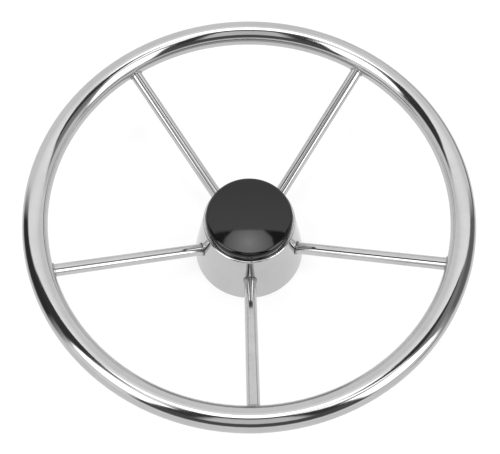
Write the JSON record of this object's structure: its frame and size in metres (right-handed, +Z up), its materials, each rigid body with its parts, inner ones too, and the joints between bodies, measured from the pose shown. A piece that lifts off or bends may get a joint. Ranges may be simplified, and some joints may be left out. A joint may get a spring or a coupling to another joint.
{
  "type": "stainless boat steering wheel",
  "caption": "Dished tubular steering wheel with straight spokes, a conical hub bored for a tapered keyed shaft, and a push-in domed cap.",
  "frame": {"origin": "centre of the hub's foot, on the plane that it stands on", "axes": "+Z up the shaft axis towards the cap; -Y towards the first spoke"},
  "size_m": [0.3428, 0.3429, 0.0853],
  "materials": {
    "rim_steel": "mirror-polished stainless tube",
    "spoke_steel": "mirror-polished stainless tube",
    "hub_steel": "polished spun stainless sheet",
    "plate_steel": "rolled stainless plate",
    "boss_steel": "turned stainless bar",
    "weld_steel": "brushed-down stainless weld",
    "fastener_steel": "plain stainless fastener",
    "cap_plastic": "glossy black moulding",
    "ring_rubber": "matt black rubber"
  },
  "bodies": {
    "wheel": {"rim_tube": "rim_steel", "hub_shell": "hub_steel", "hub_base_plate": "plate_steel", "base_plate_weld": "weld_steel", "boss_weld": "weld_steel", "hub_boss": "boss_steel", "shaft_washer": "fastener_steel", "shaft_nut": "fastener_steel", "cap_seat_ring": "boss_steel", "spoke_1": "spoke_steel", "spoke_2": "spoke_steel", "spoke_3": "spoke_steel", "spoke_4": "spoke_steel", "spoke_5": "spoke_steel", "hub_weld_1": "weld_steel", "hub_weld_2": "weld_steel", "hub_weld_3": "weld_steel", "hub_weld_4": "weld_steel", "hub_weld_5": "weld_steel", "rim_weld_1": "weld_steel", "rim_weld_2": "weld_steel", "rim_weld_3": "weld_steel", "rim_weld_4": "weld_steel", "rim_weld_5": "weld_steel"},
    "cap": {"centre_cap": "cap_plastic", "cap_o_ring": "ring_rubber"}
  },
  "joints": [
    {"name": "cap_pull", "type": "slide", "parent": "wheel", "child": "cap", "axis": [0, 0, 1], "range_m": [0, 0.03]}
  ]
}
